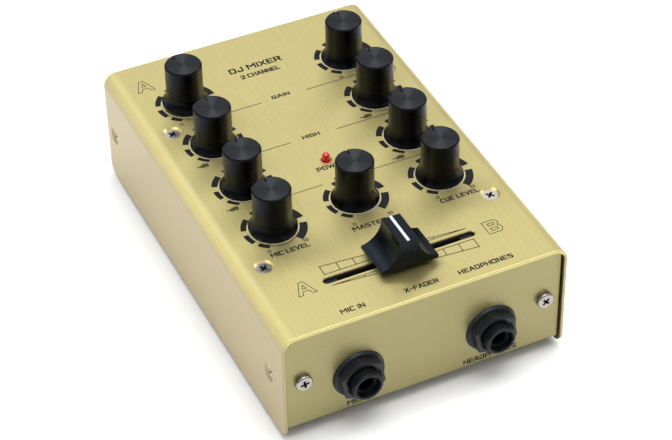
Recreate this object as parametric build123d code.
from build123d import *
import os
from math import sqrt

# Two-channel mini DJ mixer, in millimetres. +Z is up, the front panel faces -Y.
# The origin is on the surface it stands on, under the middle of its whole length.
# Depths are measured back from the face of the front panel.

os.makedirs("parts", exist_ok=True)

# Sheet-metal case
CASE_WIDTH = 115.0
CASE_LENGTH = 171.0
SHEET = 1.2
COVER_HEIGHT = 48.3
COVER_OVERHANG = 1.5
BEND_RADIUS = 5.5
FLANGE_CORNER = 5.0
FLANGE_DROP = 2.7
PANEL_GAP = 0.3
PANEL_TRIM = 0.4
EAR_LENGTH = 14.0
FOOT_HEIGHT = 4.5
FOOT_RADIUS = 6.2

# Front sockets and the overall frame
BARREL_REACH = 8.5
SHELL_REACH = 9.5
FRONT = -(CASE_LENGTH + SHELL_REACH - BARREL_REACH) / 2
REAR = FRONT + CASE_LENGTH

BASE_BOTTOM = FOOT_HEIGHT
BASE_TOP = BASE_BOTTOM + SHEET
FLANGE_BOTTOM = BASE_BOTTOM - FLANGE_DROP
TOP = FLANGE_BOTTOM + COVER_HEIGHT
UNDERSIDE = TOP - SHEET
HALF_WIDTH = CASE_WIDTH / 2
PANEL_HALF = HALF_WIDTH - SHEET - PANEL_GAP
PANEL_TOP = UNDERSIDE - 0.1
BEND_LINE = 2.0

# Controls on the top panel
COLUMN_X = 34.6
GAIN_DEPTH = 140.6
HIGH_DEPTH = 112.05
LOW_DEPTH = 83.5
LEVEL_DEPTH = 56.5
MASTER_DEPTH = 58.5
LAMP_DEPTH = 84.1
LAMP_RADIUS = 1.55
LAMP_HOLE = 2.1
LAMP_SEAT = 1.6
FADER_DEPTH = 21.2
FADER_SLOT = (61.6, 3.2)
FADER_TRAVEL = 45.0
HOLE_EDGE = 0.25

KNOBS = {
    "gain_a": (-COLUMN_X, GAIN_DEPTH),
    "high_a": (-COLUMN_X, HIGH_DEPTH),
    "low_a": (-COLUMN_X, LOW_DEPTH),
    "mic_level": (-COLUMN_X, LEVEL_DEPTH),
    "gain_b": (COLUMN_X, GAIN_DEPTH),
    "high_b": (COLUMN_X, HIGH_DEPTH),
    "low_b": (COLUMN_X, LOW_DEPTH),
    "cue_level": (COLUMN_X, LEVEL_DEPTH),
    "master": (0.0, MASTER_DEPTH),
}
# Every knob rests at twelve o'clock but this one, which stands a little to the left
REST_TURN = {"gain_a": 20.0}
# Three knobs aren't pushed fully down on their shafts
KNOB_LIFT = {"gain_a": 1.15, "mic_level": 0.7, "high_b": 0.5}

# Knob
KNOB_GAP = 0.35
KNOB_TOP = 18.0
KNOB_RADIUS = 7.35
SKIRT_RADIUS = 9.3
LIP_TOP = 0.7
FLARE_TOP = 5.4
KNOB_BEVEL = 0.45
INLAY_RADIUS = 6.75
INLAY_THICK = 0.55
INLAY_SINK = 0.05
CAVITY_RADIUS = 6.35
CAVITY_TOP = 4.4
NOTCH_INNER = 4.3
NOTCH_DEEP = 0.8

# Potentiometer
POT_WIDTH = 9.8
POT_LENGTH = 11.6
POT_HEIGHT = 6.8
BUSHING_RADIUS = 3.5
BUSHING_REACH = 3.7
POT_NUT_FLATS = 10.0
POT_NUT_THICK = 2.0
SHAFT_RADIUS = 3.0
SHAFT_TOP = 13.5
SHAFT_FLAT = 1.5
ROTOR_RADIUS = 3.9
RUNNING_FIT = 0.05

# Boards
BOARD_THICK = 1.6
BOARD_TOP = UNDERSIDE - POT_HEIGHT
BOARD_BOTTOM = BOARD_TOP - BOARD_THICK
BOARD_HALF_WIDTH = 52.0
BOARD_FRONT = 10.0
BOARD_REAR = 150.0
CONNECTOR_DEEP = 10.0

# M3 screws
M3_RADIUS = 1.45
M3_TAPPED = 1.5
M3_HOLE = 1.6
SINK_RADIUS = 3.75
SINK_HEAD = 3.0
PAN_RADIUS = 3.4
PAN_THICK = 2.0
TOP_SCREW_X = 46.5
TOP_SCREW_DEPTHS = (38.15, 125.5)
SIDE_SCREW_DEPTHS = (11.3, CASE_LENGTH - 6.6)
SIDE_SCREW_Z = FLANGE_BOTTOM + 22.9
FRONT_SCREW_X = 49.15
FRONT_SCREW_Z = FLANGE_BOTTOM + 25.0
STANDOFF_FLATS = 6.0

# 6.35 mm sockets
JACK_X = 27.1
JACK_Z = FLANGE_BOTTOM + 19.65
BARREL_RADIUS = 6.0
BORE_RADIUS = 3.2
BORE_LENGTH = 31.9
MOUTH_RADIUS = 4.8
MOUTH_THROAT = 4.2
MOUTH_DEEP = 2.5
JACK_BODY = (16.0, 24.0, 17.0)
JACK_NUT_FLATS = 16.2
JACK_NUT_FLANGE = 10.4
JACK_NUT_REACH = 4.8
JACK_NUT_TURN = -19.5
JACK_NUT_BEVEL = 0.3

# Crossfader
CAP_HALF = 11.6
CAP_BASE_LENGTH = 16.8
CAP_TOP_LENGTH = 15.1
CAP_BOTTOM = 2.0
CAP_TOP = 13.5
SCOOP_RADIUS = 9.35
SCOOP_X = 13.1
SCOOP_Z = 12.4
LINE_WIDTH = 1.3
LEVER_WIDTH = 4.0
LEVER_THICK = 1.2
LEVER_TOP = 11.0
SLIDER = (8.0, 6.0, 2.4)
FADER_BODY = (63.0, 10.0, 6.6)
COLLAR_SINK = 0.7
COLLAR_WALL = 0.35

# Rear connectors, left to right along X
DC_X = 46.0
DC_RADIUS = 2.85
MASTER_PAIR_X = 29.0
PAIR_B_X = 8.0
SWITCH_B_X = -6.0
PAIR_A_X = -20.0
SWITCH_A_X = -34.0
GROUND_X = -46.5
REAR_ROW_Z = 27.0
PAIR_SPACING = 14.0
SHELL_RADIUS = 4.15
SHELL_NECK = 3.95
SHELL_INNER = 3.5
CONTACT_RADIUS = 1.65
HOUSING = (10.5, CONNECTOR_DEEP, 27.0)
SWITCH_BODY = (11.0, CONNECTOR_DEEP, 7.0)
SWITCH_TRAVEL = 4.0
SWITCH_KNOB = 4.0
POST_RADIUS = 2.0
POST_REACH = 9.0


def place(x, depth, z):
    """A location given across, back from the front panel's face, and up."""
    return Pos(x, FRONT + depth, z)


def facing_front(x, z):
    """A location on the front panel's face whose local +Z points out of it."""
    return Location(Plane((x, FRONT, z), x_dir=(1, 0, 0), z_dir=(0, -1, 0)))


def facing_rear(x, z):
    """A location on the rear panel's face whose local +Z points out of it."""
    return Location(Plane((x, REAR, z), x_dir=(-1, 0, 0), z_dir=(0, 1, 0)))


def rod(radius, low, high):
    """A cylinder on the local Z axis between two heights."""
    return Pos(0, 0, low) * Cylinder(radius, high - low, align=(Align.CENTER, Align.CENTER, Align.MIN))


def block(size_x, size_y, low, high):
    """A box centred on the local Z axis between two heights."""
    return Pos(0, 0, low) * Box(size_x, size_y, high - low, align=(Align.CENTER, Align.CENTER, Align.MIN))


def cone(low_radius, high_radius, low, high):
    """A frustum on the local Z axis between two heights."""
    frustum = Cone(low_radius, high_radius, high - low, align=(Align.CENTER, Align.CENTER, Align.MIN))
    return Pos(0, 0, low) * frustum


def hexagon(flats, low, high):
    """A hexagonal prism on the local Z axis, sized across its flats."""
    outline = RegularPolygon(flats / 2, 6, major_radius=False)
    return Pos(0, 0, low) * extrude(outline, high - low)


def cross_recess(top, length=3.4, width=1.0, deep=1.4):
    """The tapered cross-shaped recess of a screw head."""
    wing = extrude(Rectangle(length, width), -deep, taper=13)
    return Pos(0, 0, top) * (wing + Rot(0, 0, 90) * wing)


def countersunk_screw(length):
    """An M3 flat-head screw, its axis on Z and the sheet's face at z = 0."""
    sunk = SINK_RADIUS - SINK_HEAD
    tip = SINK_RADIUS - M3_RADIUS
    head = cone(M3_RADIUS, SINK_HEAD, -tip, -sunk)
    shank = rod(M3_RADIUS, -length, -tip)
    return head + shank - cross_recess(-sunk)


def countersink():
    """The cut that a flat-head screw needs in the sheet and in what it is driven into."""
    deep = SINK_RADIUS - M3_TAPPED
    return cone(M3_TAPPED, SINK_RADIUS, -deep, 0) + rod(SINK_RADIUS, 0, 1) + rod(M3_TAPPED, -20, -deep)


def pan_screw(length):
    """An M3 pan-head screw seated on z = 0."""
    head = rod(PAN_RADIUS, 0, PAN_THICK)
    head = fillet(head.edges().group_by(Axis.Z)[-1], 0.8)
    return head + rod(M3_RADIUS, -length, 0) - cross_recess(PAN_THICK)


def stopped_at_angles(screw, places, first, step):
    """A screw at each place, each one stopped at its own angle."""
    return [spot * Rot(0, 0, first + step * index) * screw for index, spot in enumerate(places)]


def top_screw_places():
    """The four screws through the top, with the sheet's face at z = 0."""
    return [place(x, depth, TOP) for x in (-TOP_SCREW_X, TOP_SCREW_X) for depth in TOP_SCREW_DEPTHS]


def side_screw_places():
    """The four screws through the side flanges, local +Z pointing outwards."""
    places = []
    for side in (-1, 1):
        for depth in SIDE_SCREW_DEPTHS:
            spot = (side * HALF_WIDTH, FRONT + depth, SIDE_SCREW_Z)
            places.append(Location(Plane(spot, x_dir=(0, 1, 0), z_dir=(side, 0, 0))))
    return places


def front_screw_places():
    """The two pan-head screws on the front panel."""
    return [facing_front(x, FRONT_SCREW_Z) for x in (-FRONT_SCREW_X, FRONT_SCREW_X)]


def jack_places():
    """The two 6.35 mm sockets on the front panel."""
    return [facing_front(x, JACK_Z) for x in (-JACK_X, JACK_X)]


def shaft_place(name):
    """The place of a control's axis on the cover's top face, turned to its rest angle."""
    x, depth = KNOBS[name]
    return place(x, depth, TOP) * Rot(0, 0, REST_TURN.get(name, 0.0))


def knob_place(name):
    """The place of a knob on its shaft."""
    return shaft_place(name) * Pos(0, 0, KNOB_LIFT.get(name, 0.0))


def shell_places():
    """The six phono sockets on the rear panel."""
    heights = (REAR_ROW_Z + PAIR_SPACING / 2, REAR_ROW_Z - PAIR_SPACING / 2)
    return [[facing_rear(x, z) for x in (MASTER_PAIR_X, PAIR_B_X, PAIR_A_X)] for z in heights]


def sheet_prism(width, low, high, corner, length):
    """A prism along Y whose two upper corners are rounded."""
    outline = Pos(0, (low + high) / 2) * Rectangle(width, high - low)
    outline = fillet(outline.vertices().group_by(Axis.Y)[-1], corner)
    return extrude(Plane.XZ * outline, length / 2, both=True)


def top_cover():
    """The bent cover: the top and two side flanges with rounded lower corners."""
    length = CASE_LENGTH + 2 * COVER_OVERHANG
    middle = (FRONT + REAR) / 2
    outer = sheet_prism(CASE_WIDTH, FLANGE_BOTTOM, TOP, BEND_RADIUS, length)
    side_view = Pos(0, (FLANGE_BOTTOM + TOP) / 2) * Rectangle(length, COVER_HEIGHT)
    side_view = fillet(side_view.vertices().group_by(Axis.Y)[0], FLANGE_CORNER)
    outer = outer & extrude(Plane.YZ * side_view, CASE_WIDTH, both=True)
    outer = fillet(outer.edges().filter_by(lambda edge: abs(abs(edge.center().Y) - length / 2) < 0.01), 0.4)
    inside_bend = BEND_RADIUS - SHEET
    inner = sheet_prism(CASE_WIDTH - 2 * SHEET, FLANGE_BOTTOM - 20, UNDERSIDE, inside_bend, length + 2)
    cover = Pos(0, middle, 0) * (outer - inner)
    slot = SlotOverall(*FADER_SLOT)
    cover -= place(0, FADER_DEPTH, UNDERSIDE - 1) * extrude(slot, SHEET + 2)
    cover -= place(0, FADER_DEPTH, TOP - HOLE_EDGE) * extrude(slot, 2 * HOLE_EDGE, taper=-45)
    cover -= place(0, LAMP_DEPTH, TOP) * rod(LAMP_HOLE, -SHEET - 1, 1)
    cover -= place(0, LAMP_DEPTH, TOP) * cone(LAMP_HOLE, LAMP_HOLE + 2 * HOLE_EDGE, -HOLE_EDGE, HOLE_EDGE)
    for x, depth in KNOBS.values():
        cover -= place(x, depth, UNDERSIDE - 1) * rod(BUSHING_RADIUS + 0.1, 0, SHEET + 2)
    for spot in top_screw_places() + side_screw_places():
        cover -= spot * countersink()
    return cover


def bent_section(width, top):
    """The U-shaped section of the sheet bent up at both ends, its base at the right height."""
    height = top - BASE_BOTTOM
    outer = Pos(0, BASE_BOTTOM + height / 2) * Rectangle(width, height)
    outer = fillet(outer.vertices().group_by(Axis.Y)[0], 1.8)
    inner = Pos(0, BASE_TOP + height / 2) * Rectangle(width - 2 * SHEET, height)
    inner = fillet(inner.vertices().group_by(Axis.Y)[0], 0.6)
    return outer - inner


def chassis_sheet():
    """Base, front panel and rear panel in one bent sheet, with four ears for the side screws."""
    middle = (FRONT + REAR) / 2
    side_view = Plane.YZ * bent_section(CASE_LENGTH, PANEL_TOP)
    chassis = Pos(0, middle, 0) * extrude(side_view, PANEL_HALF, both=True)
    ears = extrude(Plane.XZ * bent_section(2 * PANEL_HALF, SIDE_SCREW_Z + 6), EAR_LENGTH / 2, both=True)
    inset = BEND_LINE + 0.5 + EAR_LENGTH / 2
    for depth in (inset, CASE_LENGTH - inset):
        chassis += place(0, depth, 0) * ears
    corner = BEND_RADIUS - SHEET
    chassis &= Pos(0, middle, 0) * sheet_prism(2 * PANEL_HALF, BASE_BOTTOM, PANEL_TOP, corner, CASE_LENGTH)
    for spot in jack_places():
        chassis -= spot * rod(BARREL_RADIUS + 0.2, -SHEET - 1, 1)
    for spot in front_screw_places():
        chassis -= spot * rod(M3_HOLE, -SHEET - 1, 1)
    for spot in side_screw_places():
        chassis -= spot * countersink()
    return chassis - rear_cutouts()


def chassis_pieces():
    """The sheet's front panel, base and rear panel, which meet at its two bend lines; the end panels are
    cut a little narrower than the base."""
    sheet = chassis_sheet()
    middle = place(0, CASE_LENGTH / 2, 0)
    zone = middle * block(CASE_WIDTH, CASE_LENGTH - 2 * BEND_LINE, 0, TOP)
    trimmed = middle * block(2 * (PANEL_HALF - PANEL_TRIM), CASE_LENGTH + 2, 0, TOP)
    front, rear = ((sheet - zone) & trimmed).solids().sort_by(Axis.Y)
    return front, sheet & zone, rear


def rear_cutouts():
    """The openings of the rear panel."""
    cuts = [facing_rear(DC_X, REAR_ROW_Z) * rod(4.0, -SHEET - 1, 1)]
    cuts += [spot * rod(SHELL_RADIUS + 0.35, -SHEET - 1, 1) for row in shell_places() for spot in row]
    for x in (SWITCH_A_X, SWITCH_B_X):
        opening = block(SWITCH_TRAVEL + SWITCH_KNOB + 0.8, 4.6, -SHEET - 1, 1)
        cuts.append(facing_rear(x, REAR_ROW_Z) * opening)
    cuts.append(facing_rear(GROUND_X, REAR_ROW_Z) * rod(POST_RADIUS + 0.1, -SHEET - 1, 1))
    return cuts


def rubber_feet():
    """Four round feet under the base."""
    foot = cone(FOOT_RADIUS - 0.9, FOOT_RADIUS, 0, FOOT_HEIGHT)
    foot = fillet(foot.edges().group_by(Axis.Z)[0], 0.7)
    foot -= rod(2.6, 0, 1.0)
    return [place(x, depth, 0) * foot for x in (-44.0, 44.0) for depth in (16.0, CASE_LENGTH - 16.0)]


def front_brackets():
    """Two angle brackets that tie the front panel to the base."""
    width, sheet = 9.5, 1.5
    brackets = []
    for side in (-1, 1):
        upright = place(0, SHEET + sheet / 2, 0) * block(width, sheet, BASE_TOP, FRONT_SCREW_Z + 5)
        foot = place(0, SHEET + 6, 0) * block(width, 12.0, BASE_TOP, BASE_TOP + sheet)
        bracket = Pos(side * FRONT_SCREW_X, 0, 0) * (upright + foot)
        heel = bracket.edges().filter_by(Axis.X).group_by(Axis.Z)[0].sort_by(Axis.Y)[0]
        bracket = fillet(heel, 1.2)
        brackets.append(bracket - facing_front(side * FRONT_SCREW_X, FRONT_SCREW_Z) * rod(M3_RADIUS, -8, 1))
    return brackets


def main_board():
    """The circuit board hung below the cover by the standoffs and potentiometers."""
    board = place(0, (BOARD_FRONT + BOARD_REAR) / 2, 0)
    board *= block(2 * BOARD_HALF_WIDTH, BOARD_REAR - BOARD_FRONT, BOARD_BOTTOM, BOARD_TOP)
    board = fillet(board.edges().filter_by(Axis.Z), 2.0)
    for spot in top_screw_places():
        board -= spot * rod(M3_HOLE, -20, 0)
    return board


def board_standoffs():
    """Four tapped hexagonal spacers between the cover and the board."""
    length = UNDERSIDE - BOARD_TOP
    post = hexagon(STANDOFF_FLATS, -SHEET - length, -SHEET) - countersink()
    return [spot * post for spot in top_screw_places()]


def board_screw_places():
    """The four pan-head screws up through the board into the standoffs."""
    return [spot * Pos(0, 0, BOARD_BOTTOM - TOP) * Rot(180, 0, 0) for spot in top_screw_places()]


def board_components():
    """Integrated circuits, capacitors and the lamp's spacer on top of the board."""
    chip = fillet(block(10.0, 6.4, 0, 3.4).edges().group_by(Axis.Z)[-1], 0.3)
    can = fillet(rod(2.5, 0, 5.4).edges().group_by(Axis.Z)[-1], 0.4)
    parts = [place(x, depth, BOARD_TOP) * chip for x in (-13.0, 13.0) for depth in (100.0, 114.0, 128.0)]
    parts += [place(x, depth, BOARD_TOP) * can for x in (-24.0, 0.0, 24.0) for depth in (97.0, 121.0)]
    parts.append(place(0, LAMP_DEPTH, 0) * rod(2.4, BOARD_TOP, TOP - LAMP_SEAT))
    return parts


def potentiometer():
    """A potentiometer body and its threaded bushing, with the cover's face at z = 0."""
    low = -SHEET - POT_HEIGHT
    body = fillet(block(POT_WIDTH, POT_LENGTH, low, -SHEET).edges().filter_by(Axis.Z), 0.8)
    body += rod(BUSHING_RADIUS, -SHEET, BUSHING_REACH)
    body -= rod(ROTOR_RADIUS + 0.4, low + 1.0, low + 3.0)
    return body - rod(SHAFT_RADIUS + RUNNING_FIT, low + 1.0, BUSHING_REACH + 1)


def potentiometer_nut():
    """The hexagonal nut that clamps a bushing to the cover."""
    nut = hexagon(POT_NUT_FLATS, 0, POT_NUT_THICK) & cone(6.4, 5.4, 0, POT_NUT_THICK)
    return nut - rod(BUSHING_RADIUS, -1, POT_NUT_THICK + 1)


def d_section(low, high):
    """The flatted upper part of a shaft."""
    return rod(SHAFT_RADIUS, low, high) - Pos(0, SHAFT_FLAT + 5, 0) * block(10, 10, low - 1, high + 1)


def knob_shaft():
    """A potentiometer shaft with its rotor disc and flatted end."""
    low = -SHEET - POT_HEIGHT + 1.5
    shaft = rod(ROTOR_RADIUS, low, low + 1.0) + rod(SHAFT_RADIUS, low, CAVITY_TOP)
    return shaft + d_section(CAVITY_TOP, SHAFT_TOP)


def pointer_notch():
    """The tapered notch that marks a knob's pointing direction."""
    rim = SKIRT_RADIUS
    outline = Polygon((-0.28, NOTCH_INNER), (0.28, NOTCH_INNER), (0.6, rim), (-0.6, rim), align=None)
    return Pos(0, 0, KNOB_TOP - NOTCH_DEEP) * extrude(outline, 2 * NOTCH_DEEP)


def knob():
    """A knob: flared skirt, near-straight sides, bevelled rim and a recess for the inlay."""
    run = SKIRT_RADIUS - KNOB_RADIUS
    rise = FLARE_TOP - LIP_TOP
    flare = (run**2 + rise**2) / (2 * run)
    middle_z = FLARE_TOP - rise / 2
    middle_r = KNOB_RADIUS + flare - sqrt(flare**2 - (rise / 2) ** 2)
    edges = [
        Line((0, KNOB_GAP), (SKIRT_RADIUS, KNOB_GAP)),
        Line((SKIRT_RADIUS, KNOB_GAP), (SKIRT_RADIUS, LIP_TOP)),
        ThreePointArc((SKIRT_RADIUS, LIP_TOP), (middle_r, middle_z), (KNOB_RADIUS, FLARE_TOP)),
        Line((KNOB_RADIUS, FLARE_TOP), (KNOB_RADIUS, KNOB_TOP - KNOB_BEVEL)),
        Line((KNOB_RADIUS, KNOB_TOP - KNOB_BEVEL), (KNOB_RADIUS - KNOB_BEVEL, KNOB_TOP)),
        Line((KNOB_RADIUS - KNOB_BEVEL, KNOB_TOP), (0, KNOB_TOP)),
        Line((0, KNOB_TOP), (0, KNOB_GAP)),
    ]
    body = revolve(Plane.XZ * make_face(edges), Axis.Z)
    body -= rod(CAVITY_RADIUS, 0, CAVITY_TOP)
    body -= d_section(CAVITY_TOP, SHAFT_TOP)
    body -= rod(INLAY_RADIUS, KNOB_TOP - INLAY_SINK - INLAY_THICK, KNOB_TOP + 1)
    return body - pointer_notch()


def knob_inlay():
    """The thin disc set into a knob's top."""
    top = KNOB_TOP - INLAY_SINK
    return rod(INLAY_RADIUS, top - INLAY_THICK, top) - pointer_notch()


def crossfader_body():
    """The slide control's housing on the board, open along its top, with a collar in the cover's slot."""
    length, width, height = FADER_BODY
    reach = FADER_TRAVEL / 2 + 0.5
    body = block(length, width, 0, height)
    body -= block(2 * reach + SLIDER[0], SLIDER[1] + 1, 1.2, 5.0)
    slot_length, slot_width = FADER_SLOT[0] - 0.1, FADER_SLOT[1] - 0.1
    collar = SlotOverall(slot_length, slot_width)
    collar -= SlotOverall(slot_length - 2 * COLLAR_WALL, slot_width - 2 * COLLAR_WALL)
    body += Pos(0, 0, height) * extrude(collar, TOP - COLLAR_SINK - BOARD_TOP - height)
    body -= block(2 * reach + LEVER_WIDTH, LEVER_THICK + 0.8, 1.2, height + 1)
    return place(0, FADER_DEPTH, BOARD_TOP) * body


def crossfader_lever():
    """The slider and the flat lever that stands up through the slot."""
    low = BOARD_TOP - TOP + 1.9
    lever = block(*SLIDER[:2], low, low + SLIDER[2]) + block(LEVER_WIDTH, LEVER_THICK, low, LEVER_TOP)
    return place(0, FADER_DEPTH, TOP) * lever


def crossfader_cap():
    """The cap: a ridge between two scooped flanks, with drafted ends."""
    cap = block(2 * CAP_HALF, CAP_BASE_LENGTH, CAP_BOTTOM, CAP_TOP)
    base, top = CAP_BASE_LENGTH / 2, CAP_TOP_LENGTH / 2
    corners = (-base, CAP_BOTTOM), (base, CAP_BOTTOM), (top, CAP_TOP), (-top, CAP_TOP)
    side_view = Polygon(*corners, align=None)
    cap &= extrude(Plane.YZ * side_view, CAP_HALF, both=True)
    across = 2 * CAP_BASE_LENGTH
    for side in (-1, 1):
        cap -= Pos(side * SCOOP_X, 0, SCOOP_Z) * Rot(90, 0, 0) * Cylinder(SCOOP_RADIUS, across)
        cap -= Pos(side * SCOOP_X, 0, 0) * block(2 * SCOOP_RADIUS - 0.001, across, SCOOP_Z, CAP_TOP + 1)
    cap -= block(2 * CAP_HALF - 3.2, CAP_BASE_LENGTH - 4.0, CAP_BOTTOM, CAP_BOTTOM + 0.6)
    cap -= block(LEVER_WIDTH, LEVER_THICK, CAP_BOTTOM - 1, LEVER_TOP)
    cap -= block(LINE_WIDTH, CAP_BASE_LENGTH, CAP_TOP - 0.3, CAP_TOP + 1)
    return place(0, FADER_DEPTH, TOP) * cap


def jack():
    """A 6.35 mm socket: threaded barrel, blind bore and the body behind the panel."""
    width, deep, height = JACK_BODY
    body = block(width, height, -SHEET - deep, -SHEET)
    body = fillet(body.edges().filter_by(Axis.Z), 1.0)
    barrel = rod(BARREL_RADIUS, -SHEET, BARREL_REACH)
    barrel = fillet(barrel.edges().group_by(Axis.Z)[-1], 0.5)
    bore = rod(BORE_RADIUS, BARREL_REACH - BORE_LENGTH, BARREL_REACH + 1)
    mouth = cone(MOUTH_THROAT, MOUTH_RADIUS, BARREL_REACH - MOUTH_DEEP, BARREL_REACH)
    return body + barrel - bore - mouth


def jack_nut():
    """A hexagonal nut with a round flange and a shallow recess in its face."""
    flange = cone(JACK_NUT_FLANGE, JACK_NUT_FLANGE - 0.5, 0, 1.3)
    hexed = hexagon(JACK_NUT_FLATS, 0, JACK_NUT_REACH)
    hexed = chamfer(hexed.edges().group_by(Axis.Z)[-1], JACK_NUT_BEVEL)
    nut = flange + Rot(0, 0, JACK_NUT_TURN) * hexed
    nut -= rod(BARREL_RADIUS + 0.05, -1, JACK_NUT_REACH + 1)
    return nut - rod(6.95, JACK_NUT_REACH - 1.6, JACK_NUT_REACH + 1)


def power_lamp():
    """The 3 mm lamp, whose flange stands inside its hole in the cover."""
    lens = rod(LAMP_RADIUS, -LAMP_SEAT, 1.45) + Pos(0, 0, 1.45) * Sphere(LAMP_RADIUS)
    return place(0, LAMP_DEPTH, TOP) * (lens + rod(1.95, -LAMP_SEAT, 1.0 - LAMP_SEAT))


def rear_board():
    """The small board that carries the rear connectors."""
    face = CASE_LENGTH - SHEET - CONNECTOR_DEEP
    return place(0, face - BOARD_THICK / 2, 0) * block(104.0, BOARD_THICK, 11.0, 38.0)


def phono_housings():
    """Three blocks behind the rear panel, one for each pair of phono sockets."""
    width, deep, height = HOUSING
    shape = fillet(block(width, height, -SHEET - deep, -SHEET).edges().filter_by(Axis.Z), 0.6)
    return [facing_rear(x, REAR_ROW_Z) * shape for x in (MASTER_PAIR_X, PAIR_B_X, PAIR_A_X)]


def phono_shells():
    """Six plated sleeves that stand out of the rear panel."""
    shell = rod(SHELL_RADIUS, 0, SHELL_REACH) + rod(SHELL_NECK, -SHEET, 0)
    shell -= rod(SHELL_INNER, -SHEET - 1, SHELL_REACH + 1)
    shell = chamfer(shell.edges().group_by(Axis.Z)[-1].sort_by(SortBy.RADIUS)[-1], 0.3)
    return [spot * shell for row in shell_places() for spot in row]


def phono_inserts(row):
    """Three coloured insulators with the centre contact's bore, in one row of sockets."""
    insert = rod(SHELL_INNER, -SHEET, SHELL_REACH - 0.8) - rod(CONTACT_RADIUS, 0.5, SHELL_REACH)
    return [spot * insert for spot in shell_places()[row]]


def dc_socket():
    """The low-voltage supply inlet."""
    body = block(9.0, 11.0, -SHEET - CONNECTOR_DEEP, -SHEET) + rod(3.9, -SHEET, 0.4)
    return facing_rear(DC_X, REAR_ROW_Z) * (body - rod(DC_RADIUS, -9.0, 1.0))


def dc_pin():
    """The centre pin of the supply inlet."""
    pin = fillet(rod(1.0, -9.0, -0.6).edges().group_by(Axis.Z)[-1], 0.4)
    return facing_rear(DC_X, REAR_ROW_Z) * pin


def line_switch_bodies():
    """Two slide switches behind the rear panel, open towards it."""
    width, deep, height = SWITCH_BODY
    body = block(width, height, -SHEET - deep, -SHEET)
    body -= block(SWITCH_TRAVEL + SWITCH_KNOB + 0.8, 4.6, -SHEET - 4.0, 0)
    return [facing_rear(x, REAR_ROW_Z) * body for x in (SWITCH_A_X, SWITCH_B_X)]


def line_switch_lever(x):
    """A switch's lever, resting at the +X end of its travel."""
    lever = block(SWITCH_KNOB, 4.0, -SHEET - 3.6, 2.6)
    for offset in (-1.2, 0.0, 1.2):
        lever -= Pos(offset, 0, 2.6) * Rot(90, 0, 0) * Cylinder(0.3, 6.0)
    return facing_rear(x + SWITCH_TRAVEL / 2, REAR_ROW_Z) * lever


def ground_post():
    """The earth terminal's threaded post, flanged on both faces of the panel."""
    post = rod(POST_RADIUS, -SHEET, POST_REACH) + rod(4.0, 0, 0.8) + hexagon(7.0, -SHEET - 3.0, -SHEET)
    post = chamfer(post.edges().group_by(Axis.Z)[-1], 0.4)
    return facing_rear(GROUND_X, REAR_ROW_Z) * post


def ground_nut():
    """The knurled thumb nut on the earth terminal."""
    nut = rod(4.8, 1.3, 6.3)
    nut = chamfer(nut.edges().filter_by(GeomType.CIRCLE), 0.4)
    for groove in PolarLocations(4.95, 24):
        nut -= groove * rod(0.4, 1.0, 7.0)
    return facing_rear(GROUND_X, REAR_ROW_Z) * (nut - rod(POST_RADIUS + RUNNING_FIT, 0, 8))


def flat_cable(x, start, finish, width, thick=0.9):
    """A flat cable that leaves a connector level and turns up to the board."""
    depth, level = start
    end_depth, end_level = finish
    direction = 1 if end_depth > depth else -1
    bend = 6.0
    level_run = Rectangle(abs(end_depth - depth) - bend, thick)
    level_run = Pos((depth + end_depth - direction * bend) / 2, level) * level_run
    rise = Pos(end_depth, (level + bend + end_level) / 2) * Rectangle(thick, end_level - level - bend)
    ring = Circle(bend + thick / 2) - Circle(bend - thick / 2)
    quarter = Pos(direction * bend, -bend) * Rectangle(2 * bend, 2 * bend)
    turn = Pos(end_depth - direction * bend, level + bend) * (ring & quarter)
    outline = level_run + turn + rise
    return Pos(x, FRONT, 0) * extrude(Plane.YZ * outline, width / 2, both=True)


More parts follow.
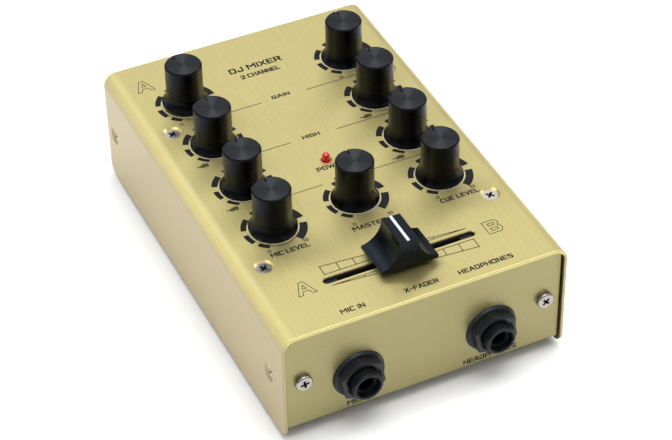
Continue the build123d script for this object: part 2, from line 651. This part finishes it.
def ribbon_cables():
    """Flat cables from the front sockets and the rear board to the main board."""
    jack_rear = SHEET + JACK_BODY[1]
    rear_face = CASE_LENGTH - SHEET - CONNECTOR_DEEP - BOARD_THICK
    cables = [flat_cable(x, (jack_rear, JACK_Z), (38.0, BOARD_BOTTOM), 8.0) for x in (-JACK_X, JACK_X)]
    cables.append(flat_cable(0.0, (rear_face, 20.0), (142.0, BOARD_BOTTOM), 25.0))
    return cables


def write(name, shape):
    """Writes one named piece, or a group of identical pieces, as a STEP file."""
    group = Compound(children=list(shape)) if isinstance(shape, (list, tuple)) else shape
    group.label = name
    export_step(group, os.path.join("parts", name + ".step"))


def main():
    write("top_cover", top_cover())
    for name, shape in zip(("front_panel", "base_plate", "rear_panel"), chassis_pieces()):
        write(name, shape)
    write("rubber_feet", rubber_feet())
    write("front_brackets", front_brackets())
    sunk_places = top_screw_places() + side_screw_places()
    write("cover_screws", stopped_at_angles(countersunk_screw(4.0), sunk_places, 35, 7))
    pan_places = front_screw_places() + board_screw_places()
    write("pan_head_screws", stopped_at_angles(pan_screw(5.0), pan_places, 10, 35))
    write("main_board", main_board())
    write("board_standoffs", board_standoffs())
    write("board_components", board_components())
    write("potentiometer_bodies", [shaft_place(name) * potentiometer() for name in KNOBS])
    write("potentiometer_nuts", [shaft_place(name) * potentiometer_nut() for name in KNOBS])
    for name in KNOBS:
        write(name + "_shaft", shaft_place(name) * knob_shaft())
        write(name + "_knob", knob_place(name) * knob())
        write(name + "_inlay", knob_place(name) * knob_inlay())
    write("crossfader_body", crossfader_body())
    write("crossfader_lever", crossfader_lever())
    write("crossfader_cap", crossfader_cap())
    mic_place, headphone_place = jack_places()
    write("mic_jack", mic_place * jack())
    write("headphone_jack", headphone_place * jack())
    write("jack_nuts", [spot * jack_nut() for spot in jack_places()])
    write("power_lamp", power_lamp())
    write("rear_board", rear_board())
    write("phono_housings", phono_housings())
    write("phono_shells", phono_shells())
    write("phono_inserts_white", phono_inserts(0))
    write("phono_inserts_red", phono_inserts(1))
    write("dc_socket", dc_socket())
    write("dc_pin", dc_pin())
    write("line_switch_bodies", line_switch_bodies())
    write("line_switch_lever_a", line_switch_lever(SWITCH_A_X))
    write("line_switch_lever_b", line_switch_lever(SWITCH_B_X))
    write("ground_post", ground_post())
    write("ground_nut", ground_nut())
    write("ribbon_cables", ribbon_cables())


main()
